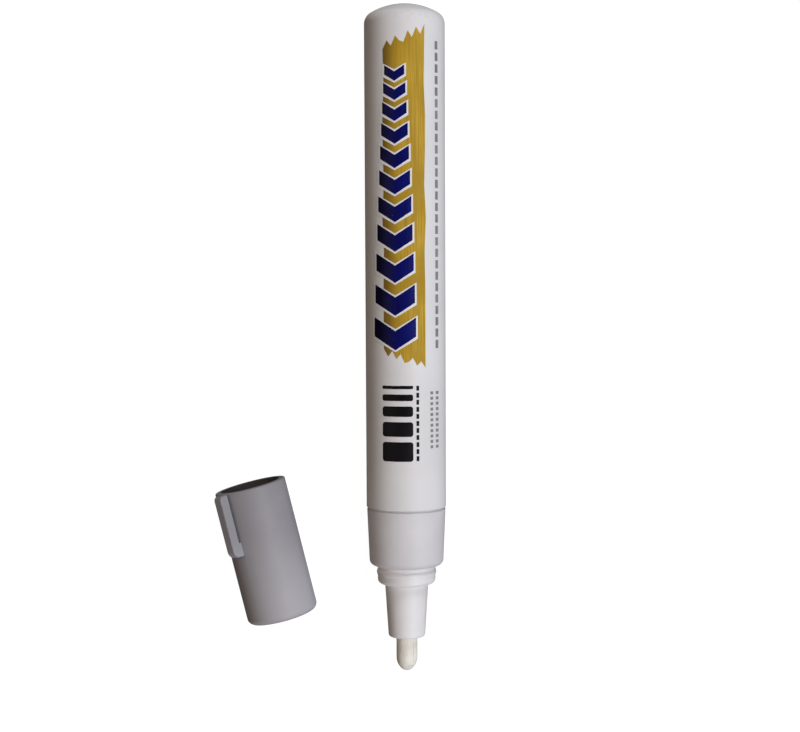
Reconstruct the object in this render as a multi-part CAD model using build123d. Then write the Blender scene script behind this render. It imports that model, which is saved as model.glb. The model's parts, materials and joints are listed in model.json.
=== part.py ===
from build123d import *
import os
from math import atan2, degrees, sqrt

# A valve-action paint marker lying on its side, with its cap taken off and laid beside it.
# The marker's axis is Y, with the rear at +Y, the nib at -Y and +Z up. Sizes are in millimetres.
# The origin is on the marker's axis, in the plane of the barrel's open front rim.

# Fits
FIT_CLEARANCE = 0.03       # radial room between pieces that are pressed or pushed together
SLIDE_CLEARANCE = 0.06     # radial room round a piece that slides
SEAT_GAP = 0.04            # room between the shut valve's seal and its seat
STOP_GAP = 0.05            # room left between two stops when the nib is fully pressed

# Barrel
BARREL_OD = 15.0
BARREL_WALL = 0.6
BARREL_LENGTH = 93.6       # front rim to the top of the dome
DOME_EDGE = 2.3            # radius of the dome's shoulder
DOME_CROWN = 12.6          # radius of its top

# Gasket in the seam
GASKET_THICKNESS = 0.5
GASKET_RECESS = 0.25       # radial, below the barrel's surface

# Collar
COLLAR_LENGTH = 10.7       # the part that shows
COLLAR_STEP = 0.1          # radial step down from the barrel
COLLAR_TAPER = 0.45        # radial, from the seam to the front face
COLLAR_EDGE = 1.1          # rounding of the front edge
COLLAR_FRONT_WALL = 1.6
COLLAR_HOLE_ROOM = 0.1     # radial room round the neck
PLUG_WALL = 0.77           # wall of the part inside the barrel
PLUG_LEAD = 0.4            # lead-in chamfer of that part

# Nib holder
FLANGE_THICKNESS = 1.5
FLANGE_LEDGE = 0.62        # radial width of the ledge that the collar holds
NECK_LENGTH = 3.5          # from the collar's face
NECK_SHOULDER = 1.35       # radial step from the neck to the cone
NECK_EDGE = 0.85           # rounding of that step
CONE_LENGTH = 10.2
CONE_EDGE = 0.5
CONE_TIP_WALL = 1.45       # from the nib's surface to the cone's edge at its tip
BEAD_HEIGHT = 0.18         # snap bead round the neck
BEAD_WIDTH = 1.1
BEAD_OFFSET = 1.3          # from the collar's face to the middle of the bead
HOLDER_WALL = 1.1          # between the cone's root and the chamber behind the guide
GUIDE_LENGTH = 8.6
GUIDE_DEPTH = 0.4          # depth of the air channels between the ribs
GUIDE_RIBS = 4
GUIDE_RIB_WIDTH = 1.2

# Nib
NIB_DIAMETER = 4.0
NIB_EXPOSED = 6.6
NIB_TIP_LEAN = 1.0         # how much larger the tip's side arc is than the nib's radius
NIB_TIP_BLUNT = 0.4        # how much smaller its end arc is
NIB_TAIL = 3.8             # behind the holder's flange
NIB_CHAMFER = 0.3

# Valve
VALVE_TRAVEL = 2.2
NIB_STOP_ROOM = 0.5        # from the pressed nib to the seat wall
HOUSING_WALL = 1.6
SEAT_WALL = 2.0
SEAT_DEPTH = 0.9           # of the 45 degree seat
STEM_ROD = 2.4
FLOW_GAP = 0.6             # radial room for paint round the stem
SEAL_NOSE = 0.7            # length of the seal's conical face
SEAL_BAND = 0.5            # straight part behind it
HEAD_THICKNESS = 0.8
BOSS_DIAMETER = 3.2
BOSS_LENGTH = 1.0
STEM_TAIL = 2.0
TAIL_REACH = 0.5           # past the cage
CHAMBER_DEPTH = 8.5        # behind the seat wall
HOUSING_FLANGE = 1.0
HOUSING_FLANGE_ROOM = 0.3  # radial, to the barrel's bore

# Spring and its cage
CAGE_WALL = 0.8
CAGE_PLUG = 4.0            # length inside the valve housing
CAGE_RIM = 0.8
CAGE_RIM_LEDGE = 0.9       # radial
CAGE_BODY = 4.0            # from the rim to the end wall
CAGE_END_WALL = 1.2
WINDOWS = 4
WINDOW_WIDTH = 2.8
WINDOW_LAND = 0.4          # wall left before and behind each window
WIRE = 0.45
WIRE_SIDE_COUNT = 8        # the wire's round section is drawn with this many sides
SPRING_TURNS = 6
SPRING_ROOM = 0.15         # radial room round the boss

# Mixing ball
BALL_DIAMETER = 6.0
BALL_CLEARANCE = 0.06      # above the barrel's inner wall
BALL_STANDOFF = 0.5        # from the pressed stem

# Cap
CAP_SLIP = 0.15            # radial room round the neck
CAP_STEP = 0.2             # radial step down from the collar's front edge
CAP_WALL = 0.95
CAP_MOUTH_DEPTH = 5.0      # length of the land that grips the neck
CAP_EDGE = 0.25            # rounding of the mouth's rim
CAP_END_WALL = 1.2
CAP_END_EDGE = 1.2         # rounding of the closed end
LINER_WALL = 0.8
LINER_SET = 0.2            # behind the land that keeps it in
LINER_RIM = 3.0
LINER_CLEARANCE = 0.12     # radial, to the cone when the cap is on
LINER_STANDOFF = 2.5       # from the liner's base to the cap's end wall
LINER_FIN = 0.8
NIB_POCKET_ROOM = 0.8      # radial
NIB_END_ROOM = 1.0

# Clip, moulded with the cap
CLIP_LENGTH = 12.0
CLIP_WIDTH = 1.95
CLIP_RISE = 2.15           # above the cap's surface
CLIP_GAP = 0.4
CLIP_ROOT = 2.6
CLIP_BULLNOSE = 1.5        # rounding of the root end
CLIP_TIP_EDGE = 0.8
CLIP_SIDE_EDGE = 0.3
CLIP_LEAN = 40.2           # degrees from straight up, towards -X

# Where the cap lies
CAP_TURN = 13.76           # degrees about Z
CAP_MOUTH_X = -29.6
CAP_MOUTH_Y = 3.92

# Radii
barrel_r = BARREL_OD / 2
bore_r = barrel_r - BARREL_WALL
plug_r = bore_r - FIT_CLEARANCE
collar_rear_r = barrel_r - COLLAR_STEP
collar_front_r = collar_rear_r - COLLAR_TAPER
collar_bore_r = plug_r - PLUG_WALL
flange_r = collar_bore_r - FIT_CLEARANCE
neck_r = flange_r - FLANGE_LEDGE
cone_base_r = neck_r - NECK_SHOULDER
nib_r = NIB_DIAMETER / 2
nib_side_r = nib_r + NIB_TIP_LEAN
nib_end_r = nib_r - NIB_TIP_BLUNT
cone_tip_r = nib_r + CONE_TIP_WALL
guide_r = nib_r + SLIDE_CLEARANCE
channel_r = guide_r + GUIDE_DEPTH
holder_chamber_r = cone_base_r - HOLDER_WALL
housing_r = collar_bore_r - FIT_CLEARANCE
chamber_r = housing_r - HOUSING_WALL
rod_r = STEM_ROD / 2
seat_hole_r = rod_r + FLOW_GAP
seat_mouth_r = seat_hole_r + SEAT_DEPTH
seal_r = seat_mouth_r - SEAT_GAP * sqrt(2)
boss_r = BOSS_DIAMETER / 2
tail_r = STEM_TAIL / 2
tail_bore_r = tail_r + SLIDE_CLEARANCE
cage_plug_r = chamber_r - FIT_CLEARANCE
cage_inner_r = cage_plug_r - CAGE_WALL
ball_r = BALL_DIAMETER / 2
cap_r = collar_front_r - CAP_STEP
cap_mouth_r = neck_r + CAP_SLIP
cap_bore_r = cap_r - CAP_WALL
liner_r = cap_bore_r - FIT_CLEARANCE
nib_pocket_r = nib_r + NIB_POCKET_ROOM

# Places along the marker, from the nib to the dome
seam_y = -GASKET_THICKNESS
collar_face_y = seam_y - COLLAR_LENGTH
flange_front_y = collar_face_y + COLLAR_FRONT_WALL
flange_rear_y = flange_front_y + FLANGE_THICKNESS
neck_front_y = collar_face_y - NECK_LENGTH
cone_tip_y = neck_front_y - CONE_LENGTH
guide_rear_y = cone_tip_y + GUIDE_LENGTH
nib_tip_y = cone_tip_y - NIB_EXPOSED
nib_rear_y = flange_rear_y + NIB_TAIL
seat_front_y = nib_rear_y + VALVE_TRAVEL + NIB_STOP_ROOM
seat_rear_y = seat_front_y + SEAT_WALL
head_front_y = seat_rear_y + SEAL_BAND
head_rear_y = head_front_y + HEAD_THICKNESS
boss_rear_y = head_rear_y + BOSS_LENGTH
housing_rear_y = seat_rear_y + CHAMBER_DEPTH
plug_rear_y = housing_rear_y - HOUSING_FLANGE
cage_body_y = housing_rear_y + CAGE_RIM
cage_wall_y = cage_body_y + CAGE_BODY
cage_rear_y = cage_wall_y + CAGE_END_WALL
sleeve_front_y = boss_rear_y + VALVE_TRAVEL + STOP_GAP
tail_rear_y = cage_rear_y + TAIL_REACH
ball_y = tail_rear_y + VALVE_TRAVEL + BALL_STANDOFF + ball_r

# Places along the cap, from its mouth at 0 to its closed end
cap_land_y = -CAP_MOUTH_DEPTH
liner_front_y = cap_land_y - LINER_SET
liner_rim_y = liner_front_y - LINER_RIM
nose_y = -(NECK_LENGTH + CONE_LENGTH)
pocket_y = nose_y - NIB_EXPOSED - NIB_END_ROOM
liner_base_y = pocket_y - LINER_WALL
cap_wall_y = liner_base_y - LINER_STANDOFF
cap_end_y = cap_wall_y - CAP_END_WALL


def end_height(radius, edge, crown):
    """Height of a rounded end made of an edge arc and a crown arc that meet smoothly."""
    reach = sqrt((crown - edge) ** 2 - (radius - edge) ** 2)
    return crown - reach if crown > edge else crown + reach


def end_arcs(radius, edge, crown, y, side):
    """Those two arcs, for an end that starts at y and points along +Y (side 1) or -Y (side -1)."""
    crown_y = y + side * (end_height(radius, edge, crown) - crown)
    order = 1 if crown > edge else -1
    join = degrees(atan2(order * (y - crown_y), order * (radius - edge)))
    return (
        CenterArc((radius - edge, y), edge, 0, join),
        CenterArc((0, crown_y), crown, join, side * 90 - join),
    )


def turned(*edges):
    """A solid turned about Y from a closed half outline, drawn with X as the radius."""
    return revolve(make_face(edges), Axis.Y)


def turned_corners(*corners):
    """The same from the outline's corners, where it has straight sides only."""
    return turned(Polyline(*corners, close=True))


def rim(part, radius, y):
    """The circular edge of a turned solid at this radius and place along Y."""
    circles = part.edges().filter_by(GeomType.CIRCLE)
    return circles.sort_by(lambda e: abs(e.radius - radius) + abs(e.arc_center.Y - y))[0:1]


def around(part, count):
    """Copies of a solid, evenly spaced about Y."""
    return [Rot(0, 360 * k / count, 0) * part for k in range(count)]


def make_barrel():
    """Drawn tube with a low domed end and an even wall."""
    dome_y = BARREL_LENGTH - end_height(barrel_r, DOME_EDGE, DOME_CROWN)
    return turned(
        Line((bore_r, 0), (barrel_r, 0)),
        Line((barrel_r, 0), (barrel_r, dome_y)),
        *end_arcs(barrel_r, DOME_EDGE, DOME_CROWN, dome_y, 1),
        Line((0, BARREL_LENGTH), (0, BARREL_LENGTH - BARREL_WALL)),
        *end_arcs(bore_r, DOME_EDGE - BARREL_WALL, DOME_CROWN - BARREL_WALL, dome_y, 1),
        Line((bore_r, dome_y), (bore_r, 0)),
    )


def make_gasket():
    """Flat ring between the barrel's rim and the collar's shoulder, a little below both."""
    ring_r = barrel_r - GASKET_RECESS
    return turned_corners((bore_r, seam_y), (ring_r, seam_y), (ring_r, 0), (bore_r, 0))


def make_collar():
    """Tapered sleeve with a plug that goes into the barrel and a wall that holds the nib holder's flange."""
    hole_r = neck_r + COLLAR_HOLE_ROOM
    sleeve = turned_corners(
        (hole_r, collar_face_y),
        (collar_front_r, collar_face_y),
        (collar_rear_r, seam_y),
        (plug_r, seam_y),
        (plug_r, plug_rear_y),
        (collar_bore_r, plug_rear_y),
        (collar_bore_r, flange_front_y),
        (hole_r, flange_front_y),
    )
    sleeve = fillet(rim(sleeve, collar_front_r, collar_face_y), COLLAR_EDGE)
    return chamfer(rim(sleeve, plug_r, plug_rear_y), PLUG_LEAD)


def make_nib_holder():
    """Flanged neck with a snap bead, and a cone with ribs inside that guide the nib."""
    bead_y = collar_face_y - BEAD_OFFSET
    bead_rear_y = bead_y + BEAD_WIDTH / 2
    bead_front_y = bead_y - BEAD_WIDTH / 2
    body = turned(
        Polyline(
            (neck_r, bead_rear_y),
            (neck_r, flange_front_y),
            (flange_r, flange_front_y),
            (flange_r, flange_rear_y),
            (holder_chamber_r, flange_rear_y),
            (holder_chamber_r, guide_rear_y),
            (channel_r, guide_rear_y),
            (channel_r, cone_tip_y),
            (cone_tip_r, cone_tip_y),
            (cone_base_r, neck_front_y),
            (neck_r, neck_front_y),
            (neck_r, bead_front_y),
        ),
        ThreePointArc((neck_r, bead_front_y), (neck_r + BEAD_HEIGHT, bead_y), (neck_r, bead_rear_y)),
    )
    body = fillet(rim(body, neck_r, neck_front_y), NECK_EDGE)
    body = fillet(rim(body, cone_tip_r, cone_tip_y), CONE_EDGE)
    rib_height = cone_tip_r - guide_r - CONE_EDGE
    rib = Pos(0, cone_tip_y + GUIDE_LENGTH / 2, guide_r + rib_height / 2)
    body += around(rib * Box(GUIDE_RIB_WIDTH, GUIDE_LENGTH, rib_height), GUIDE_RIBS)
    nib_path = turned_corners((0, cone_tip_y), (guide_r, cone_tip_y), (guide_r, guide_rear_y), (0, guide_rear_y))
    return body - nib_path


def make_nib():
    """Fibre rod with a bullet tip."""
    shoulder_y = nib_tip_y + end_height(nib_r, nib_side_r, nib_end_r)
    rod = turned(
        *end_arcs(nib_r, nib_side_r, nib_end_r, shoulder_y, -1),
        Polyline((nib_r, shoulder_y), (nib_r, nib_rear_y), (0, nib_rear_y), (0, nib_tip_y)),
    )
    return chamfer(rim(rod, nib_r, nib_rear_y), NIB_CHAMFER)


def make_valve_housing():
    """Tube clamped between the nib holder and the collar's end, with the conical seat across its middle."""
    rear_r = bore_r - HOUSING_FLANGE_ROOM
    return turned_corners(
        (chamber_r, flange_rear_y),
        (housing_r, flange_rear_y),
        (housing_r, plug_rear_y),
        (rear_r, plug_rear_y),
        (rear_r, housing_rear_y),
        (chamber_r, housing_rear_y),
        (chamber_r, seat_rear_y),
        (seat_mouth_r, seat_rear_y),
        (seat_hole_r, seat_rear_y - SEAT_DEPTH),
        (seat_hole_r, seat_front_y),
        (chamber_r, seat_front_y),
    )


def make_valve_stem():
    """Poppet: a rod that meets the nib, a head, a boss for the spring and a guided tail."""
    return turned_corners(
        (0, nib_rear_y),
        (rod_r, nib_rear_y),
        (rod_r, head_front_y),
        (seal_r, head_front_y),
        (seal_r, head_rear_y),
        (boss_r, head_rear_y),
        (boss_r, boss_rear_y),
        (tail_r, boss_rear_y),
        (tail_r, tail_rear_y),
        (0, tail_rear_y),
    )


def make_stem_seal():
    """Rubber ring on the stem, with a cone that lies along the seat."""
    hole_r = rod_r + FIT_CLEARANCE
    nose_front_y = seat_rear_y - SEAL_NOSE
    return turned_corners(
        (hole_r, nose_front_y),
        (seal_r - SEAL_NOSE, nose_front_y),
        (seal_r, seat_rear_y),
        (seal_r, head_front_y),
        (hole_r, head_front_y),
    )


def make_spring_cage():
    """Cup pushed into the valve housing, with windows for the paint and a sleeve that guides and stops the stem."""
    rim_r = chamber_r + CAGE_RIM_LEDGE
    cup = turned_corners(
        (cage_inner_r, housing_rear_y - CAGE_PLUG),
        (cage_plug_r, housing_rear_y - CAGE_PLUG),
        (cage_plug_r, housing_rear_y),
        (rim_r, housing_rear_y),
        (rim_r, cage_body_y),
        (cage_plug_r, cage_body_y),
        (cage_plug_r, cage_rear_y),
        (tail_bore_r, cage_rear_y),
        (tail_bore_r, sleeve_front_y),
        (boss_r, sleeve_front_y),
        (boss_r, cage_wall_y),
        (cage_inner_r, cage_wall_y),
    )
    window = Box(WINDOW_WIDTH, CAGE_BODY - 2 * WINDOW_LAND, 2 * CAGE_WALL)
    place = Pos(0, cage_body_y + CAGE_BODY / 2, cage_plug_r - CAGE_WALL / 2)
    return cup - around(place * window, WINDOWS)


def make_valve_spring():
    """Compression spring between the valve head and the cage's end wall, with its ends ground flat."""
    coil_r = boss_r + SPRING_ROOM + WIRE / 2
    front_y = head_rear_y + STOP_GAP
    rear_y = cage_wall_y - STOP_GAP
    height = rear_y - front_y
    path = Helix(height / SPRING_TURNS, height, coil_r, center=(0, front_y, 0), direction=(0, 1, 0))
    section = Plane(origin=path @ 0, z_dir=path % 0) * RegularPolygon(WIRE / 2, WIRE_SIDE_COUNT)
    coil = sweep(section, path=path, is_frenet=True)
    ground_r = coil_r + WIRE
    return coil & turned_corners((0, front_y), (ground_r, front_y), (ground_r, rear_y), (0, rear_y))


def make_mixing_ball():
    """Loose ball on the barrel's inner wall, just behind the valve."""
    return Pos(0, ball_y, -(bore_r - ball_r - BALL_CLEARANCE)) * Sphere(ball_r)


def make_clip():
    """Short sprung bar beside the cap's wall, rooted at mid-length with its free end at the mouth."""
    under = cap_r + CLIP_GAP
    top = cap_r + CLIP_RISE
    wall_middle = cap_r - CAP_WALL / 2
    root_y = CLIP_ROOT - CLIP_LENGTH
    side = make_face(
        Polyline(
            (0, under),
            (0, top),
            (-CLIP_LENGTH, top),
            (-CLIP_LENGTH, wall_middle),
            (root_y, wall_middle),
            (root_y, under),
            close=True,
        )
    )
    side = fillet(side.vertices().sort_by(Axis.X)[0:2].sort_by(Axis.Y)[-1], CLIP_BULLNOSE)
    side = fillet(side.vertices().sort_by(Axis.X)[-2:].sort_by(Axis.Y)[-1], CLIP_TIP_EDGE)
    bar = extrude(Plane.YZ * side, CLIP_WIDTH / 2, both=True)
    crest = bar.faces().sort_by(Axis.Z)[-1].edges().filter_by(Axis.Y)
    bar = fillet(crest, CLIP_SIDE_EDGE)
    return Rot(0, -CLIP_LEAN, 0) * bar


def make_cap_shell():
    """Cup with a stepped bore and a clip, mouth at Y = 0 and closed end towards -Y."""
    shell = turned_corners(
        (cap_mouth_r, 0),
        (cap_r, 0),
        (cap_r, cap_end_y),
        (0, cap_end_y),
        (0, cap_wall_y),
        (cap_bore_r, cap_wall_y),
        (cap_bore_r, cap_land_y),
        (cap_mouth_r, cap_land_y),
    )
    shell = fillet(rim(shell, cap_r, cap_end_y), CAP_END_EDGE)
    shell = fillet(rim(shell, cap_r, 0), CAP_EDGE)
    return shell + make_clip()


def make_cap_liner():
    """Inner cup that closes round the cone, with fins down to the cap's end wall."""
    narrowing = (cone_base_r - cone_tip_r) / CONE_LENGTH
    mouth_r = cone_base_r - narrowing * (-liner_front_y - NECK_LENGTH) + LINER_CLEARANCE
    rim_inner_r = mouth_r - narrowing * LINER_RIM
    nose_r = cone_tip_r + LINER_CLEARANCE
    step_y = nose_y - (nose_r - nib_pocket_r)
    hollow = (
        (mouth_r, liner_front_y),
        (nose_r, nose_y),
        (nib_pocket_r, step_y),
        (nib_pocket_r, pocket_y),
        (0, pocket_y),
    )
    cup = turned_corners(
        *hollow,
        (0, liner_base_y),
        (nib_pocket_r + LINER_WALL, liner_base_y),
        (nib_pocket_r + LINER_WALL, step_y),
        (nose_r + LINER_WALL, nose_y),
        (rim_inner_r + LINER_WALL, liner_rim_y),
        (liner_r, liner_rim_y),
        (liner_r, liner_front_y),
    )
    fin_length = liner_rim_y - cap_wall_y
    fin = Pos(0, cap_wall_y + fin_length / 2, 0) * Box(2 * liner_r, fin_length, LINER_FIN)
    cross = fin + Rot(0, 90, 0) * fin
    cross &= turned_corners((0, cap_wall_y), (liner_r, cap_wall_y), (liner_r, liner_rim_y), (0, liner_rim_y))
    return cup + (cross - turned_corners(*hollow, (0, liner_front_y)))


marker_pieces = {
    "barrel": make_barrel,
    "barrel_gasket": make_gasket,
    "collar": make_collar,
    "nib_holder": make_nib_holder,
    "nib": make_nib,
    "valve_housing": make_valve_housing,
    "valve_stem": make_valve_stem,
    "stem_seal": make_stem_seal,
    "valve_spring": make_valve_spring,
    "spring_cage": make_spring_cage,
    "mixing_ball": make_mixing_ball,
}
cap_pieces = {
    "cap_shell": make_cap_shell,
    "cap_liner": make_cap_liner,
}

# The cap is drawn as if its axis were Y, then turned and laid on the surface that the barrel lies on
cap_place = Location((CAP_MOUTH_X, CAP_MOUTH_Y, cap_r - barrel_r), (0, 0, CAP_TURN))

os.makedirs("parts", exist_ok=True)
for name, make in marker_pieces.items():
    export_step(make(), f"parts/{name}.step")
for name, make in cap_pieces.items():
    export_step(cap_place * make(), f"parts/{name}.step")
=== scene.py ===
"""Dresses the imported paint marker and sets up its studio.

The marker lies along Y with its nib at -Y, and its cap lies beside it. Sizes are metres, written through MM.
"""

import json
import logging
import math
from dataclasses import dataclass, field
from enum import Enum

import bpy
from mathutils import Matrix, Vector

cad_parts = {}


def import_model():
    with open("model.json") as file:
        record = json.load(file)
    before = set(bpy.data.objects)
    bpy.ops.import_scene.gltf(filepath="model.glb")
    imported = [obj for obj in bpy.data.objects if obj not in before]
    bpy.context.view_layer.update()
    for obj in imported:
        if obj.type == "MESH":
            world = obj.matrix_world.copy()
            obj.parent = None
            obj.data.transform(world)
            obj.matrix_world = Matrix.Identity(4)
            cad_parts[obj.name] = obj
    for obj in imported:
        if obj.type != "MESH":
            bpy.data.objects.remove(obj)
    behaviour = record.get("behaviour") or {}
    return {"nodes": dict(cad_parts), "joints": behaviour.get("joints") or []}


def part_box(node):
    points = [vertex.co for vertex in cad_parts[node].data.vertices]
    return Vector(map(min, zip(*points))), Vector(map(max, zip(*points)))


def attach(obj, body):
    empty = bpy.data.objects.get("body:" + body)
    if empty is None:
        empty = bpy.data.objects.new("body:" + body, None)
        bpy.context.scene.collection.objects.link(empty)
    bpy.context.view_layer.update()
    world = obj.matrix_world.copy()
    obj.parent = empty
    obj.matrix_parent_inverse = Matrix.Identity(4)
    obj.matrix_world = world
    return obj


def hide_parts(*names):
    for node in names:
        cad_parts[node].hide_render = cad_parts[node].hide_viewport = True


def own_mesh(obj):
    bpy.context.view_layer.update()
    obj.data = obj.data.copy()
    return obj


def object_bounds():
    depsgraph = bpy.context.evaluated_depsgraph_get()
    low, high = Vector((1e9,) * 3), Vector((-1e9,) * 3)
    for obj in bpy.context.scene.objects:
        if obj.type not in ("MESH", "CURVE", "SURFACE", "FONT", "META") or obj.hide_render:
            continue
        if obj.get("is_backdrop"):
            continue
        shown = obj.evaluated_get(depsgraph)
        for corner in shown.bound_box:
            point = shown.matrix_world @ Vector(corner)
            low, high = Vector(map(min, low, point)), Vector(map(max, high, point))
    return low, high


MM = 0.001
LOG = logging.getLogger("paint_marker")

Colour = tuple[float, float, float, float]
Triple = tuple[float, float, float]
Pair = tuple[float, float]

WHITE: Colour = (1.0, 1.0, 1.0, 1.0)
EVEN: Triple = (1.0, 1.0, 1.0)
ACROSS: Triple = (1.0, 0.0, 0.0)
LENGTHWISE: Triple = (0.0, 1.0, 0.0)
FAR = 1.0  # well past the marker


def srgb(red: int, green: int, blue: int) -> Colour:
    """Turns a screen colour into the linear one that a shader takes.

    Args:
        red: Red from 0 to 255.
        green: Green from 0 to 255.
        blue: Blue from 0 to 255.

    Returns:
        The linear colour with full alpha.
    """
    def linear(level: int) -> float:
        """One channel, undone by the screen's curve."""
        share = level / 255
        return share / 12.92 if share <= 0.04045 else ((share + 0.055) / 1.055) ** 2.4

    return (linear(red), linear(green), linear(blue), 1.0)


class NodeGraph:
    """One material's nodes, with short calls for what the finishes share."""

    def __init__(self, name: str) -> None:
        """Starts a material with its shader and Object coordinates.

        Args:
            name: The material's name.
        """
        self.material = bpy.data.materials.new(name)
        self.material.use_nodes = True
        self.tree = self.material.node_tree
        self.shader = next(n for n in self.tree.nodes if n.type == "BSDF_PRINCIPLED")
        self.place = self.add("ShaderNodeTexCoord").outputs["Object"]

    def add(self, kind: str, **values: object) -> bpy.types.Node:
        """Adds a node.

        Args:
            kind: The node's type name.
            **values: Input values by socket name, with _ for a space.

        Returns:
            The new node.
        """
        node = self.tree.nodes.new(kind)
        for name, value in values.items():
            node.inputs[name.replace("_", " ")].default_value = value
        return node

    def wire(self, source: bpy.types.NodeSocket, target: bpy.types.NodeSocket) -> None:
        """Links one socket to another."""
        self.tree.links.new(source, target)

    def mapped(self, stretch: Triple, turn: float) -> bpy.types.NodeSocket:
        """Object coordinates, turned about Z and then scaled.

        Args:
            stretch: How much finer the pattern gets along each axis.
            turn: Degrees from the marker's axis to the piece's own.

        Returns:
            The socket with the new coordinates.
        """
        turned = self.add("ShaderNodeMapping", Rotation=(0.0, 0.0, math.radians(-turn)))
        scaled = self.add("ShaderNodeMapping", Scale=stretch)
        self.wire(self.place, turned.inputs["Vector"])
        self.wire(turned.outputs["Vector"], scaled.inputs["Vector"])
        return scaled.outputs["Vector"]

    def noise(self, feature: float, detail: float = 3.0, stretch: Triple = EVEN,
              turn: float = 0.0) -> bpy.types.NodeSocket:
        """Soft noise.

        Args:
            feature: About the size of one patch, in metres.
            detail: How many finer layers it has.
            stretch: How much finer it gets along each axis.
            turn: Degrees from the marker's axis to the piece's own.

        Returns:
            The socket with values around 0.5.
        """
        texture = self.add("ShaderNodeTexNoise", Scale=1.0 / feature, Detail=detail)
        self.wire(self.mapped(stretch, turn), texture.inputs["Vector"])
        return texture.outputs[0]

    def ranged(self, value: bpy.types.NodeSocket, source: Pair,
               target: Pair = (0.0, 1.0)) -> bpy.types.NodeSocket:
        """Maps a range of values onto another, with soft ends and held beyond them.

        Args:
            value: The socket to map.
            source: The values that it runs between.
            target: What they become.

        Returns:
            The socket with the mapped value.
        """
        node = self.tree.nodes.new("ShaderNodeMapRange")
        node.interpolation_type = "SMOOTHSTEP"
        ends = {"From Min": source[0], "From Max": source[1], "To Min": target[0], "To Max": target[1]}
        for name, number in ends.items():
            node.inputs[name].default_value = number
        self.wire(value, node.inputs["Value"])
        return node.outputs["Result"]

    def mix(self, share: bpy.types.NodeSocket, first: object, second: object) -> bpy.types.NodeSocket:
        """Blends two colours.

        Args:
            share: The socket with how much of the second shows.
            first: A colour or a colour socket.
            second: A colour or a colour socket.

        Returns:
            The socket with the blended colour.
        """
        node = self.tree.nodes.new("ShaderNodeMix")
        node.data_type = "RGBA"
        factor, base, over = (next(s for s in node.inputs if s.identifier == name)
                              for name in ("Factor_Float", "A_Color", "B_Color"))
        self.wire(share, factor)
        for side, target in ((first, base), (second, over)):
            if isinstance(side, bpy.types.NodeSocket):
                self.wire(side, target)
            else:
                target.default_value = side
        return next(s for s in node.outputs if s.identifier == "Result_Color")

    def maths(self, kind: str, first: bpy.types.NodeSocket, second: object) -> bpy.types.NodeSocket:
        """One sum on a value.

        Args:
            kind: The operation's name.
            first: The first value's socket.
            second: The second value, a number or a socket.

        Returns:
            The socket with the result.
        """
        node = self.tree.nodes.new("ShaderNodeMath")
        node.operation = kind
        self.wire(first, node.inputs[0])
        if isinstance(second, bpy.types.NodeSocket):
            self.wire(second, node.inputs[1])
        else:
            node.inputs[1].default_value = second
        return node.outputs[0]

    def along(self, axis: str, turn: float = 0.0) -> bpy.types.NodeSocket:
        """The place along one axis of the frame, or of a piece that is turned in it.

        Args:
            axis: X, Y or Z.
            turn: Degrees from the marker's axis to the piece's own.

        Returns:
            The socket with the place in metres.
        """
        split = self.add("ShaderNodeSeparateXYZ")
        self.wire(self.mapped(EVEN, turn), split.inputs[0])
        return split.outputs[axis]

    def off_axis(self, centre: Triple, turn: float) -> bpy.types.NodeSocket:
        """The distance from a piece's own axis.

        Args:
            centre: A point of the axis, in the piece's turned coordinates.
            turn: Degrees from the marker's axis to the piece's own.

        Returns:
            The socket with the distance in metres.
        """
        flat = self.add("ShaderNodeMapping", Location=(-centre[0], 0.0, -centre[2]), Scale=(1.0, 0.0, 1.0))
        self.wire(self.mapped(EVEN, turn), flat.inputs["Vector"])
        length = self.tree.nodes.new("ShaderNodeVectorMath")
        length.operation = "LENGTH"
        self.wire(flat.outputs["Vector"], length.inputs[0])
        return length.outputs["Value"]

    def round_off(self, centre: Triple, share: bpy.types.NodeSocket) -> None:
        """Shades the middle of a dome as part of a ball, so that its pole is even.

        Args:
            centre: The ball's centre.
            share: The socket with how far the ball's direction takes over.
        """
        outwards = self.add("ShaderNodeMapping", Location=tuple(-part for part in centre))
        self.wire(self.place, outwards.inputs["Vector"])
        unit = self.tree.nodes.new("ShaderNodeVectorMath")
        unit.operation = "NORMALIZE"
        self.wire(outwards.outputs["Vector"], unit.inputs[0])
        turned = self.tree.nodes.new("ShaderNodeMix")
        turned.data_type = "VECTOR"
        sockets = {socket.identifier: socket for socket in (*turned.inputs, *turned.outputs)}
        self.wire(share, sockets["Factor_Float"])
        self.wire(self.add("ShaderNodeNewGeometry").outputs["Normal"], sockets["A_Vector"])
        self.wire(unit.outputs["Vector"], sockets["B_Vector"])
        self.wire(sockets["Result_Vector"], self.shader.inputs["Normal"])

    def relief(self, height: bpy.types.NodeSocket, depth: float) -> None:
        """Adds fine relief on top of what the surface has already.

        Args:
            height: The socket with the height from 0 to 1.
            depth: What a height of 1 measures, in metres.
        """
        bump = self.add("ShaderNodeBump", Strength=1.0, Distance=depth)
        self.wire(height, bump.inputs["Height"])
        before = self.shader.inputs["Normal"]
        if before.is_linked:
            self.wire(before.links[0].from_socket, bump.inputs["Normal"])
        self.wire(bump.outputs["Normal"], before)


@dataclass(frozen=True)
class Relief:
    """The fine relief of a surface: the size of its features, their depth and how they run along the axis."""

    feature: float
    depth: float
    along: float = 1.0


class Grain(Enum):
    """The kinds of fine relief that the pieces have."""

    ORANGE_PEEL = Relief(0.9 * MM, 0.004 * MM)
    SATIN = Relief(0.16 * MM, 0.003 * MM)
    POLISHED = Relief(1.6 * MM, 0.001 * MM)
    FIBRE = Relief(0.11 * MM, 0.03 * MM, 0.06)
    DRAWN = Relief(0.08 * MM, 0.002 * MM, 0.1)
    INK = Relief(0.3 * MM, 0.002 * MM)


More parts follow.
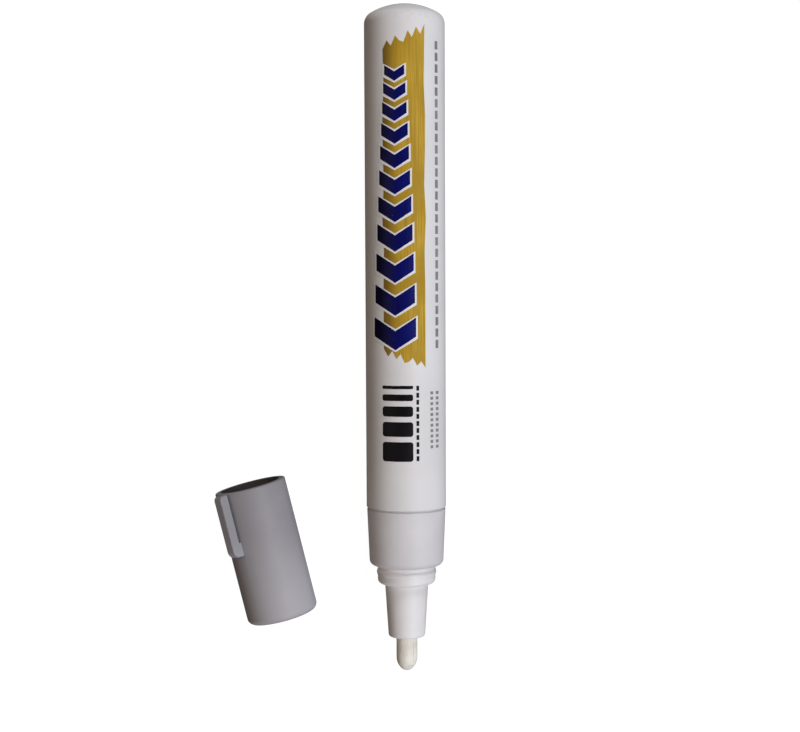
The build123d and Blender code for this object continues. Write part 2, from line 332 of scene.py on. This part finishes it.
@dataclass(frozen=True)
class Finish:
    """A surface with two close tones that drift into each other, uneven gloss and fine relief."""

    name: str
    tone: Colour
    drift_tone: Colour
    gloss: Pair
    grain: Grain
    patch: float = 9 * MM
    metal: float = 0.0
    depth_glow: float = 0.0
    glow_reach: float = 0.6 * MM
    glow_tone: Triple = (1.0, 0.9, 0.8)
    fuzz: float = 0.0
    shine: float = 0.5
    turn: float = 0.0

    def material(self) -> bpy.types.Material:
        """Builds the finish.

        Returns:
            The new material.
        """
        graph = NodeGraph(self.name)
        graph.wire(self.colour(graph), graph.shader.inputs["Base Color"])
        graph.wire(self.roughness(graph), graph.shader.inputs["Roughness"])
        self.constants(graph.shader)
        self.surface(graph)
        return graph.material

    def constants(self, shader: bpy.types.Node) -> None:
        """Sets what is the same all over the surface."""
        shader.inputs["Metallic"].default_value = self.metal
        shader.inputs["Specular IOR Level"].default_value = self.shine
        shader.inputs["Sheen Weight"].default_value = self.fuzz
        shader.inputs["Subsurface Weight"].default_value = self.depth_glow
        shader.inputs["Subsurface Radius"].default_value = self.glow_tone
        shader.inputs["Subsurface Scale"].default_value = self.glow_reach

    def colour(self, graph: NodeGraph) -> bpy.types.NodeSocket:
        """The colour with its slow drift.

        Args:
            graph: The material's nodes.

        Returns:
            The colour socket.
        """
        drift = graph.ranged(graph.noise(self.patch, 4.0, turn=self.turn), (0.32, 0.68))
        return graph.mix(drift, self.tone, self.drift_tone)

    def roughness(self, graph: NodeGraph) -> bpy.types.NodeSocket:
        """Uneven gloss.

        Args:
            graph: The material's nodes.

        Returns:
            The roughness socket.
        """
        return graph.ranged(graph.noise(self.patch / 4, 5.0, turn=self.turn), (0.3, 0.7), self.gloss)

    def surface(self, graph: NodeGraph) -> None:
        """Adds the fine relief.

        Args:
            graph: The material's nodes.
        """
        relief = self.grain.value
        grain = graph.noise(relief.feature, 2.0, (1.0, relief.along, 1.0), self.turn)
        graph.relief(grain, relief.depth)


@dataclass(frozen=True)
class Lacquer(Finish):
    """Sprayed lacquer that is rubbed thin at the tube's cut edge and along its shoulder."""

    rub_tone: Colour = srgb(172, 170, 168)
    edge: float = 0.35 * MM
    front: float = 0.0
    rear: float = 0.1
    dome: float = 4 * MM
    crown: float = 12.6 * MM
    pole: Pair = (0.3 * MM, 0.1 * MM)
    speck: float = 0.7 * MM
    wear: float = 0.12
    scuff: Relief = Relief(0.5 * MM, 0.001 * MM, 0.05)

    def colour(self, graph: NodeGraph) -> bpy.types.NodeSocket:
        """The drifting colour, greyer where the lacquer is rubbed.

        Args:
            graph: The material's nodes.

        Returns:
            The colour socket.
        """
        base = super().colour(graph)
        length = graph.along("Y")
        rim = graph.ranged(length, (self.front + self.edge, self.front))
        shoulder = self.rear - self.dome
        begins = graph.ranged(length, (shoulder, shoulder + 2 * self.edge))
        ends = graph.ranged(length, (shoulder + 7 * self.edge, shoulder + 4 * self.edge))
        speck = graph.ranged(graph.noise(self.speck, 5.0), (0.5, 0.62))
        edges = graph.maths("MAXIMUM", rim, graph.maths("MULTIPLY", begins, ends))
        worn = graph.maths("MULTIPLY", edges, speck)
        return graph.mix(graph.maths("MULTIPLY", worn, self.wear), base, self.rub_tone)

    def surface(self, graph: NodeGraph) -> None:
        """Rounds off the dome's pole, and adds orange peel and faint scuffs that run along the tube.

        Args:
            graph: The material's nodes.
        """
        pole = graph.ranged(graph.along("Y"), (self.rear - self.pole[0], self.rear - self.pole[1]))
        graph.round_off((0.0, self.rear - self.crown, 0.0), pole)
        super().surface(graph)
        scratches = graph.noise(self.scuff.feature, 4.0, (1.0, self.scuff.along, 1.0))
        graph.relief(graph.ranged(scratches, (0.62, 0.72)), self.scuff.depth)


@dataclass(frozen=True)
class Felt(Finish):
    """Bundled fibre with pores between its strands."""

    pore_tone: Colour = srgb(205, 198, 185)

    def colour(self, graph: NodeGraph) -> bpy.types.NodeSocket:
        """Strands of close tones, with darker pores between them.

        Args:
            graph: The material's nodes.

        Returns:
            The colour socket.
        """
        relief = self.grain.value
        strand = graph.noise(relief.feature * 2, 3.0, (1.0, relief.along, 1.0), self.turn)
        pores = graph.ranged(strand, (0.46, 0.3))
        return graph.mix(pores, super().colour(graph), self.pore_tone)


@dataclass(frozen=True)
class Ink(Finish):
    """Screen ink with pinholes where the lacquer shows through."""

    ground: Colour = srgb(226, 225, 224)
    pinhole: float = 0.22 * MM
    holes_from: Pair = (0.76, 0.82)

    def colour(self, graph: NodeGraph) -> bpy.types.NodeSocket:
        """The ink's colour, broken by pinholes.

        Args:
            graph: The material's nodes.

        Returns:
            The colour socket.
        """
        holes = graph.ranged(graph.noise(self.pinhole, 2.0), self.holes_from)
        return graph.mix(holes, super().colour(graph), self.ground)


@dataclass(frozen=True)
class BrushedInk(Ink):
    """Ink laid in streaks along the barrel, as with a dry brush, and darker towards one side as painted
    shade.
    """

    streak_tone: Colour = srgb(170, 136, 40)
    # Painted shade: the darker tone, and the span across the barrel where the ink darkens towards -X, the
    # side turned from the light.
    painted_shade_tone: Colour = srgb(122, 96, 30)
    painted_shade_side: Pair = (-0.9 * MM, -3.9 * MM)
    streak: float = 0.24 * MM
    streak_run: float = 0.025
    sway: float = 0.5 * MM

    def colour(self, graph: NodeGraph) -> bpy.types.NodeSocket:
        """The ink's colour with its streaks, darkened towards -X by painted shade.

        Args:
            graph: The material's nodes.

        Returns:
            The colour socket.
        """
        streak = graph.ranged(graph.noise(self.streak, 3.0, (1.0, self.streak_run, 1.0)), (0.42, 0.64))
        strokes = graph.mix(streak, super().colour(graph), self.streak_tone)
        across = graph.maths("ADD", graph.along("X"), graph.maths("MULTIPLY", streak, self.sway))
        # Painted shade: the ink darkens towards -X, standing in for the shade on the barrel's left flank.
        return graph.mix(graph.ranged(across, self.painted_shade_side), strokes, self.painted_shade_tone)


@dataclass(frozen=True)
class CapPlastic(Finish):
    """Moulded plastic that is paler towards the closed end as painted light, and dark in the bore as painted
    shade.
    """

    middle: Triple = (0.0, 0.0, 0.0)
    bore: float = 5.72 * MM
    bore_edge: float = 0.08 * MM
    half_length: float = 11 * MM
    floor_edge: float = 1 * MM
    # Painted light: the paler tone at the closed end, standing in for light falling there.
    painted_light_end_tone: Colour = srgb(175, 174, 179)
    # Painted shade: the dark tone inside the bore, standing in for the shade there.
    painted_shade_bore_tone: Colour = srgb(74, 70, 70)

    def colour(self, graph: NodeGraph) -> bpy.types.NodeSocket:
        """The drifting colour with its pale end, which is painted light, and its dark bore, which is painted
        shade.

        Args:
            graph: The material's nodes.

        Returns:
            The colour socket.
        """
        length = graph.along("Y", self.turn)
        span = (self.middle[1] + self.half_length, self.middle[1] - self.half_length)
        # Painted light: the plastic turns paler towards the closed end, standing in for light from that side.
        paler = graph.mix(graph.ranged(length, span), super().colour(graph), self.painted_light_end_tone)
        # Painted shade: the bore near the open end turns dark, standing in for the shade inside the cap.
        inside = graph.ranged(graph.off_axis(self.middle, self.turn), (self.bore, self.bore - self.bore_edge))
        open_end = graph.ranged(length, (span[1], span[1] + self.floor_edge))
        return graph.mix(graph.maths("MULTIPLY", inside, open_end), paler, self.painted_shade_bore_tone)


def deselect() -> None:
    """Leaves nothing selected, so that the next operator acts on the new piece alone."""
    if bpy.context.object and bpy.context.object.mode != "OBJECT":
        bpy.ops.object.mode_set(mode="OBJECT")
    bpy.ops.object.select_all(action="DESELECT")


def apply_modifiers(piece: bpy.types.Object) -> None:
    """Applies a piece's modifiers in order."""
    deselect()
    bpy.context.view_layer.objects.active = piece
    piece.select_set(True)
    for modifier in list(piece.modifiers):
        bpy.ops.object.modifier_apply(modifier=modifier.name)


def dress(node: bpy.types.Object, material: bpy.types.Material) -> None:
    """Gives a piece its material, in its one slot."""
    if not node.material_slots:
        node.data.materials.append(material)
    node.material_slots[0].material = material


@dataclass(frozen=True)
class DashRow:
    """A row of dashes along the barrel: where it starts, the dash's length, their pitch and their number."""

    start: Pair
    dash: float
    pitch: float
    count: int


@dataclass
class BarrelPrint:
    """The screen print on the barrel, as thin films of ink.

    It has a gold field with chevrons on it, graded bars and dashed rules. A pair is a place or a size
    across the barrel, in x, and along it, in y.
    """

    barrel: str
    body: str
    film: float = 0.02 * MM
    lift: float = 0.004 * MM
    strip: float = 0.45 * MM
    former_sides: int = 720
    smooth: float = math.radians(30)
    grip: float = 0.1 * MM
    field_middle: Pair = (-0.2 * MM, 57 * MM)
    field_size: Pair = (7.6 * MM, 55 * MM)
    ragged: tuple[float, ...] = tuple(
        reach * MM for reach in (0.0, 1.5, 0.5, 2.3, 1.4, 1.1, 3.2, 2.0, 3.9, 2.6, 4.4))
    front_share: float = 0.8
    front_reach: float = 3 * MM
    side_parts: int = 9
    uneven: float = 0.16 * MM
    wave_step: float = 2.4
    chevron_count: int = 11
    chevron_start: Pair = (-1.9 * MM, 34 * MM)
    chevron_size: Pair = (7.6 * MM, 3.5 * MM)
    chevron_dip: float = 2.5 * MM
    chevron_gap: float = 2.6 * MM
    chevron_loss: float = 0.052
    chevron_edge: float = 0.32 * MM
    slant_room: float = 1.2
    bar_start: Pair = (-1.5 * MM, 9.2 * MM)
    bar_width: float = 5.6 * MM
    bar_gap: float = 1.0 * MM
    bar_sizes: tuple[float, ...] = (3.6 * MM, 2.7 * MM, 1.9 * MM, 1.2 * MM, 0.6 * MM)
    corner: float = 0.5 * MM
    corner_share: float = 0.3
    corner_steps: int = 6
    rule_width: float = 0.5 * MM
    scale_row: DashRow = DashRow((2.15 * MM, 9.3 * MM), 0.9 * MM, 1.3 * MM, 11)
    rule_rows: tuple[DashRow, ...] = (
        DashRow((5.75 * MM, 30.0 * MM), 1.5 * MM, 2.1 * MM, 27),
        DashRow((4.75 * MM, 11.5 * MM), 0.55 * MM, 1.0 * MM, 11),
        DashRow((5.75 * MM, 11.5 * MM), 0.55 * MM, 1.0 * MM, 11),
    )
    radius: float = field(init=False)
    rear: float = field(init=False)

    def __post_init__(self) -> None:
        """Reads the barrel's size from the frame."""
        low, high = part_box(self.barrel)
        self.radius = (high.x - low.x) / 2
        self.rear = high.y

    def plate(self, name: str, centre: Pair, size: Pair) -> bpy.types.Object:
        """Adds a flat plate above the barrel, as seen from above.

        Args:
            name: The piece's name.
            centre: Its middle, in x and y.
            size: Its width and length.

        Returns:
            The plate, still flat, with its place in its mesh.
        """
        deselect()
        bpy.ops.mesh.primitive_plane_add(size=1.0, location=(*centre, 2 * self.radius))
        plate = bpy.context.object
        plate.name = name
        plate.data.name = name
        plate.scale = (*size, 1.0)
        bpy.ops.object.transform_apply(location=True, rotation=True, scale=True)
        return plate

    def nudge(self, plate: bpy.types.Object, low: Pair, high: Pair, shift: Pair) -> None:
        """Moves those corners of the flat plate that lie in a window.

        Args:
            plate: The flat plate.
            low: The window's lower corner, in x and y.
            high: Its upper corner.
            shift: How far they move, in x and y.
        """
        bpy.ops.object.mode_set(mode="EDIT")
        bpy.ops.mesh.select_mode(type="VERT")
        bpy.ops.mesh.select_all(action="DESELECT")
        bpy.ops.object.mode_set(mode="OBJECT")
        for vertex in plate.data.vertices:
            vertex.select = low[0] < vertex.co.x < high[0] and low[1] < vertex.co.y < high[1]
        bpy.ops.object.mode_set(mode="EDIT")
        bpy.ops.transform.translate(value=(*shift, 0.0))
        bpy.ops.object.mode_set(mode="OBJECT")

    def cut(self, places: list[float], axis: Triple) -> None:
        """Cuts the flat plate that is being shaped across an axis.

        Args:
            places: Where the cuts are along the axis.
            axis: The axis.
        """
        bpy.ops.object.mode_set(mode="EDIT")
        for place in places:
            bpy.ops.mesh.select_all(action="SELECT")
            bpy.ops.mesh.bisect(plane_co=[place * part for part in axis], plane_no=axis)
        bpy.ops.object.mode_set(mode="OBJECT")

    def round_corners(self, radius: float) -> None:
        """Rounds the corners of the flat plate that is being shaped."""
        bpy.ops.object.mode_set(mode="EDIT")
        bpy.ops.mesh.select_all(action="SELECT")
        bpy.ops.mesh.bevel(offset=radius, offset_type="OFFSET", segments=self.corner_steps, affect="VERTICES")
        bpy.ops.object.mode_set(mode="OBJECT")

    def wrap(self, plate: bpy.types.Object, layer: int) -> bpy.types.Object:
        """Lays the flat plate on the barrel as a film of ink.

        Args:
            plate: The flat plate.
            layer: How many films lie under it.

        Returns:
            The finished film.
        """
        self.cut_strips(plate)
        deselect()
        clear = self.lift + layer * (self.film + self.lift)
        bpy.ops.mesh.primitive_cylinder_add(
            vertices=self.former_sides, radius=self.radius + clear, depth=2 * self.rear,
            location=(0.0, self.rear / 2, 0.0), rotation=(math.pi / 2, 0.0, 0.0))
        former = bpy.context.object
        laid = plate.modifiers.new("laid", "SHRINKWRAP")
        laid.target = former
        laid.wrap_method = "PROJECT"
        laid.use_project_z = True
        laid.use_positive_direction = False
        laid.use_negative_direction = True
        thick = plate.modifiers.new("thick", "SOLIDIFY")
        thick.thickness = self.film
        thick.offset = 1.0
        apply_modifiers(plate)
        bpy.data.objects.remove(former)
        bpy.ops.object.shade_smooth_by_angle(angle=self.smooth)
        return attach(plate, self.body)

    def cut_strips(self, plate: bpy.types.Object) -> None:
        """Cuts the plate along the barrel, so that it can bend round it."""
        deselect()
        bpy.context.view_layer.objects.active = plate
        plate.select_set(True)
        across = [vertex.co.x for vertex in plate.data.vertices]
        count = math.ceil((max(across) - min(across)) / self.strip)
        step = (max(across) - min(across)) / count
        self.cut([min(across) + index * step for index in range(1, count)], ACROSS)

    def field_panel(self) -> bpy.types.Object:
        """The gold field: one broad stroke with ragged ends and slightly uneven sides.

        Returns:
            The finished film.
        """
        middle = self.field_middle
        width, length = self.field_size
        panel = self.plate("print_field", middle, self.field_size)
        low = (middle[0] - width / 2, middle[1] - length / 2)
        step = width / (len(self.ragged) - 1)
        self.cut([low[0] + step * index for index in range(1, len(self.ragged) - 1)], ACROSS)
        for index, reach in enumerate(self.ragged):
            across = low[0] + step * index
            window = (across - step / 2, across + step / 2)
            front = self.front_share * self.ragged[-1 - index] - self.front_reach
            self.nudge(panel, (window[0], middle[1]), (window[1], FAR), (0.0, reach))
            self.nudge(panel, (window[0], -FAR), (window[1], middle[1]), (0.0, front))
        sides = [low[1] + length * share / self.side_parts for share in range(2, self.side_parts)]
        self.cut(sides, LENGTHWISE)
        for index, place in enumerate(sides):
            bulge = self.uneven * math.sin(self.wave_step * index)
            rows = (place - self.grip, place + self.grip)
            self.nudge(panel, (low[0] - step / 2, rows[0]), (low[0] + step / 2, rows[1]), (bulge, 0.0))
            self.nudge(panel, (-low[0] - step, rows[0]), (FAR, rows[1]), (-bulge, 0.0))
        return self.wrap(panel, 0)

    def chevrons(self, name: str, margin: float, layer: int) -> bpy.types.Object:
        """A row of chevrons that grows towards the nib.

        Args:
            name: The piece's name.
            margin: How far each one reaches past its own outline.
            layer: How many films lie under it.

        Returns:
            The finished films, as one piece.
        """
        row = []
        middle, place = self.chevron_start
        for index in range(self.chevron_count):
            grade = 1.0 - self.chevron_loss * index
            width, depth = (size * grade for size in self.chevron_size)
            outline = (width + 2 * margin, depth + 2 * self.slant_room * margin)
            chevron = self.plate(f"{name}_{index}", (middle, place), outline)
            bpy.ops.object.mode_set(mode="EDIT")
            bpy.ops.mesh.subdivide(number_cuts=1)
            bpy.ops.object.mode_set(mode="OBJECT")
            dip = (0.0, -self.chevron_dip * grade)
            self.nudge(chevron, (middle - self.grip, 0.0), (middle + self.grip, FAR), dip)
            place += depth + self.chevron_gap * grade
            row.append(chevron)
        return self.wrap(self.joined(name, row), layer)

    def outlined_chevrons(self) -> bpy.types.Object:
        """The pale edges under the chevrons."""
        return self.chevrons("print_edges", self.chevron_edge, 1)

    def filled_chevrons(self) -> bpy.types.Object:
        """The chevrons themselves."""
        return self.chevrons("print_chevrons", 0.0, 2)

    def bars(self) -> bpy.types.Object:
        """Bars of graded thickness, like the strokes of a set of nibs, with a fine scale beside them.

        Returns:
            The finished films, as one piece.
        """
        row = []
        middle, place = self.bar_start
        for thickness in self.bar_sizes:
            bar = self.plate("print_bar", (middle, place + thickness / 2), (self.bar_width, thickness))
            self.round_corners(min(self.corner, self.corner_share * thickness))
            place += thickness + self.bar_gap
            row.append(bar)
        row.append(self.dashes(self.scale_row))
        return self.wrap(self.joined("print_bars", row), 0)

    def rules(self) -> bpy.types.Object:
        """Fine dashed rules beside the field and the bars.

        Returns:
            The finished films, as one piece.
        """
        row = [self.dashes(dashes) for dashes in self.rule_rows]
        return self.wrap(self.joined("print_rules", row), 0)

    def dashes(self, row: DashRow) -> bpy.types.Object:
        """A row of flat dashes along the barrel.

        Args:
            row: Their places and sizes.

        Returns:
            The flat dashes, as one piece.
        """
        middle = (row.start[0], row.start[1] + row.dash / 2)
        rule = self.plate("print_rule", middle, (self.rule_width, row.dash))
        repeat = rule.modifiers.new("repeat", "ARRAY")
        repeat.use_relative_offset = False
        repeat.use_constant_offset = True
        repeat.constant_offset_displace = (0.0, row.pitch, 0.0)
        repeat.count = row.count
        apply_modifiers(rule)
        return rule

    def joined(self, name: str, row: list[bpy.types.Object]) -> bpy.types.Object:
        """Joins flat plates into one piece.

        Args:
            name: The piece's name.
            row: The plates.

        Returns:
            The joined piece.
        """
        deselect()
        for plate in row:
            plate.select_set(True)
        bpy.context.view_layer.objects.active = row[0]
        bpy.ops.object.join()
        row[0].name = name
        row[0].data.name = name
        return row[0]

    def build(self) -> None:
        """Makes the films and gives them their inks."""
        gold = BrushedInk("gold_ink", srgb(196, 161, 56), srgb(172, 139, 38), (0.42, 0.52), Grain.INK,
                          shine=0.1)
        # Painted shade: the navy ink also darkens towards -X.
        navy = BrushedInk("navy_ink", srgb(9, 14, 96), srgb(12, 18, 112), (0.4, 0.5), Grain.INK, shine=0.08,
                          streak_tone=srgb(8, 11, 82), painted_shade_tone=srgb(6, 7, 36),
                          painted_shade_side=(0.2 * MM, -5.2 * MM))
        black = Ink("black_ink", srgb(12, 12, 14), srgb(20, 19, 22), (0.4, 0.5), Grain.INK, shine=0.1)
        grey = Ink("grey_ink", srgb(128, 128, 130), srgb(146, 146, 148), (0.36, 0.48), Grain.INK)
        pale = Ink("white_ink", srgb(232, 232, 233), srgb(226, 226, 228), (0.4, 0.5), Grain.INK, shine=0.2)
        for make, ink in (
            (self.field_panel, gold),
            (self.outlined_chevrons, pale),
            (self.filled_chevrons, navy),
            (self.bars, black),
            (self.rules, grey),
        ):
            film = make()
            dress(film, ink.material())
            LOG.info("printed %s: %d faces", film.name, len(film.data.polygons))


@dataclass
class MarkerBody:
    """The marker without its cap: barrel, seam, collar, nose and nib."""

    nodes: dict[str, bpy.types.Object]

    def finishes(self) -> dict[str, Finish]:
        """The finish of each node.

        Returns:
            Finishes by node name.
        """
        low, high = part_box("barrel")
        return {
            "barrel": Lacquer("barrel_lacquer", srgb(228, 228, 229), srgb(222, 222, 223), (0.42, 0.5),
                              Grain.ORANGE_PEEL, patch=14 * MM, shine=0.18, front=low.y, rear=high.y),
            "barrel_gasket": Finish("gasket_rubber", srgb(200, 198, 199), srgb(206, 204, 204), (0.6, 0.75),
                                    Grain.SATIN),
            "collar": Finish("collar_plastic", srgb(220, 219, 222), srgb(213, 212, 215), (0.42, 0.52),
                             Grain.SATIN, depth_glow=0.08, shine=0.35),
            "nib_holder": Finish("nose_plastic", srgb(241, 240, 241), srgb(235, 234, 235), (0.36, 0.46),
                                 Grain.SATIN, depth_glow=0.12),
            "nib": Felt("nib_fibre", srgb(246, 244, 234), srgb(240, 237, 226), (0.8, 0.95), Grain.FIBRE,
                        patch=3 * MM, fuzz=0.2),
        }

    def build(self) -> None:
        """Dresses the nodes."""
        for name, finish in self.finishes().items():
            dress(self.nodes[name], finish.material())
            LOG.info("dressed %s as %s", name, finish.name)


@dataclass
class ValveUnit:
    """The sprung valve inside the marker, and the ball that stirs the paint."""

    nodes: dict[str, bpy.types.Object]
    press: str
    travel: float
    body: str
    weld: float = 0.0001 * MM
    smooth: float = math.radians(40)

    def coil(self) -> bpy.types.Object:
        """The spring, as a smooth-shaded copy of its node's mesh, which takes the hidden node's place.

        Returns:
            The piece that stands for the spring's node.
        """
        deselect()
        coil = bpy.data.objects.new("valve_coil", self.nodes["valve_spring"].data.copy())
        bpy.context.scene.collection.objects.link(coil)
        bpy.context.view_layer.objects.active = coil
        coil.select_set(True)
        bpy.ops.mesh.customdata_custom_splitnormals_clear()
        bpy.ops.object.mode_set(mode="EDIT")
        bpy.ops.mesh.select_all(action="SELECT")
        bpy.ops.mesh.remove_doubles(threshold=self.weld)
        bpy.ops.object.mode_set(mode="OBJECT")
        bpy.ops.object.shade_smooth_by_angle(angle=self.smooth)
        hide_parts("valve_spring")
        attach(coil, self.body)
        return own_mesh(coil)

    def build(self) -> None:
        """Dresses the nodes and the spring that stands for its own."""
        plastic = Finish("valve_plastic", srgb(226, 224, 216), srgb(216, 213, 204), (0.38, 0.5), Grain.SATIN,
                         depth_glow=0.1)
        wire = Finish("spring_steel", srgb(196, 196, 200), srgb(176, 176, 180), (0.22, 0.36), Grain.DRAWN,
                      patch=2 * MM, metal=1.0)
        finishes = {
            "valve_housing": plastic,
            "valve_stem": plastic,
            "spring_cage": plastic,
            "stem_seal": Finish("seal_rubber", srgb(44, 43, 43), srgb(56, 54, 54), (0.6, 0.78), Grain.SATIN),
            "valve_coil": wire,
            "mixing_ball": Finish("ball_steel", srgb(204, 204, 206), srgb(190, 190, 193), (0.08, 0.16),
                                  Grain.POLISHED, patch=2 * MM, metal=1.0),
        }
        pieces = {**self.nodes, "valve_coil": self.coil()}
        materials = {finish: finish.material() for finish in dict.fromkeys(finishes.values())}
        for name, finish in finishes.items():
            dress(pieces[name], materials[finish])
            LOG.info("dressed %s as %s", name, finish.name)


@dataclass
class Cap:
    """The cap and its liner, lying beside the marker."""

    nodes: dict[str, bpy.types.Object]
    pull: Triple

    def build(self) -> None:
        """Dresses the nodes, with the grain along the cap's own axis."""
        turn = math.degrees(math.atan2(self.pull[0], -self.pull[1]))
        low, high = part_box("cap_liner")
        middle = Matrix.Rotation(math.radians(-turn), 3, "Z") @ ((low + high) / 2)
        finishes = {
            "cap_shell": CapPlastic("cap_plastic", srgb(152, 150, 156), srgb(145, 144, 149), (0.5, 0.6),
                                    Grain.SATIN, patch=8 * MM, shine=0.3, turn=turn, middle=tuple(middle)),
            "cap_liner": Finish("liner_plastic", srgb(216, 215, 212), srgb(206, 205, 202), (0.4, 0.5),
                                Grain.SATIN, depth_glow=0.1, turn=turn),
        }
        for name, finish in finishes.items():
            dress(self.nodes[name], finish.material())
            LOG.info("dressed %s as %s", name, finish.name)


class LightTone(Enum):
    """The colours of the studio's lights."""

    COOL = (0.97, 0.965, 1.0)
    DAYLIGHT = (0.98, 0.975, 1.0)
    WARM = (1.0, 0.8, 0.64)


@dataclass
class SoftLight:
    """A square panel of soft light that faces the marker."""

    name: str
    place: Triple
    aim: Vector
    power: float
    tone: LightTone
    size: float = 0.2

    def build(self) -> None:
        """Adds the light, turned to the point that it faces."""
        panel = bpy.data.lights.new(self.name, "AREA")
        panel.size = self.size
        panel.energy = self.power
        panel.color = self.tone.value
        light = bpy.data.objects.new(self.name, panel)
        bpy.context.scene.collection.objects.link(light)
        light.location = Vector(self.place)
        light.rotation_euler = (self.aim - light.location).to_track_quat("-Z", "Y").to_euler()


@dataclass
class Studio:
    """The camera above the marker, a pale floor and soft light from the right."""

    low: Vector
    high: Vector
    eye: Triple = (-1.0 * MM, 45.05 * MM, 300 * MM)
    tilt: float = -3.557
    roll: float = -0.257
    focal_pixels: float = 1599.6
    photo_width: int = 800
    sensor: float = 36.0
    nearest: float = 10 * MM
    floor_reach: float = 2.0
    floor_patch: float = 60 * MM
    floor_tones: tuple[Colour, Colour] = (srgb(118, 118, 118), srgb(114, 114, 114))
    floor_rough: float = 0.9
    floor_glow: float = 0.975
    room_tone: Colour = (1.0, 0.9, 0.86, 1.0)
    room_glow: float = 0.03

    def camera(self) -> None:
        """Adds the camera, which looks down with the nib at the picture's bottom edge."""
        lens = bpy.data.cameras.new("camera")
        lens.sensor_width = self.sensor
        lens.lens = self.focal_pixels / self.photo_width * lens.sensor_width
        lens.clip_start = self.nearest
        camera = bpy.data.objects.new("camera", lens)
        bpy.context.scene.collection.objects.link(camera)
        camera.location = self.eye
        camera.rotation_euler = (math.radians(self.tilt), 0.0, math.radians(self.roll))
        bpy.context.scene.camera = camera

    def floor(self) -> None:
        """Adds the floor under the lowest point."""
        deselect()
        middle = (self.low + self.high) / 2
        bpy.ops.mesh.primitive_plane_add(size=2 * self.floor_reach, location=(middle.x, middle.y, self.low.z))
        floor = bpy.context.object
        floor.name = "floor"
        floor.visible_diffuse = False
        floor.visible_glossy = False
        graph = NodeGraph("pale_floor")
        drift = graph.ranged(graph.noise(self.floor_patch, 2.0), (0.3, 0.7))
        graph.wire(graph.mix(drift, *self.floor_tones), graph.shader.inputs["Base Color"])
        graph.shader.inputs["Roughness"].default_value = self.floor_rough
        graph.shader.inputs["Specular IOR Level"].default_value = 0.0
        graph.shader.inputs["Emission Color"].default_value = WHITE
        graph.shader.inputs["Emission Strength"].default_value = self.floor_glow
        dress(floor, graph.material)
        floor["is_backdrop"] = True

    def lights(self) -> None:
        """Adds the key at the right, lights off the nib and off the dome, and a warm fill at the left."""
        middle = (self.low + self.high) / 2
        for light in (
            SoftLight("key", (0.31, 0.03, 0.49), middle, 1.32, LightTone.COOL),
            SoftLight("front", (0.26, -0.45, 0.28), middle, 1.6, LightTone.COOL),
            SoftLight("rear", (0.16, 0.5, 0.24), middle, 1.4, LightTone.DAYLIGHT),
            SoftLight("warm_fill", (-0.4, 0.1, 0.35), middle, 0.48, LightTone.WARM),
        ):
            light.build()

    def surroundings(self) -> None:
        """Makes the world white to the camera and dim to the marker."""
        world = bpy.data.worlds.new("studio")
        world.use_nodes = True
        bpy.context.scene.world = world
        tree = world.node_tree
        dim = next(n for n in tree.nodes if n.type == "BACKGROUND")
        dim.inputs["Color"].default_value = self.room_tone
        dim.inputs["Strength"].default_value = self.room_glow
        white = tree.nodes.new("ShaderNodeBackground")
        white.inputs["Color"].default_value = WHITE
        ray = tree.nodes.new("ShaderNodeLightPath")
        either = tree.nodes.new("ShaderNodeMixShader")
        tree.links.new(ray.outputs["Is Camera Ray"], either.inputs[0])
        tree.links.new(dim.outputs[0], either.inputs[1])
        tree.links.new(white.outputs[0], either.inputs[2])
        output = next(n for n in tree.nodes if n.type == "OUTPUT_WORLD")
        tree.links.new(either.outputs[0], output.inputs["Surface"])
        bpy.context.scene.view_settings.view_transform = "Standard"

    def build(self) -> None:
        """Sets up the whole studio."""
        self.camera()
        self.floor()
        self.lights()
        self.surroundings()
        LOG.info("studio ready")


def main() -> None:
    """Loads the frame, dresses it piece by piece and sets up the studio."""
    logging.basicConfig(level=logging.INFO, format="%(message)s")
    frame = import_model()
    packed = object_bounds()
    nodes = frame["nodes"]
    joints = {joint["name"]: joint for joint in frame["joints"]}
    Studio(*packed).build()
    MarkerBody(nodes).build()
    BarrelPrint("barrel", "marker").build()
    ValveUnit(nodes, "nib_press", joints["nib_press"]["range_m"][1], "marker").build()
    Cap(nodes, tuple(joints["cap_pull"]["axis"])).build()


if __name__ == "__main__":
    main()
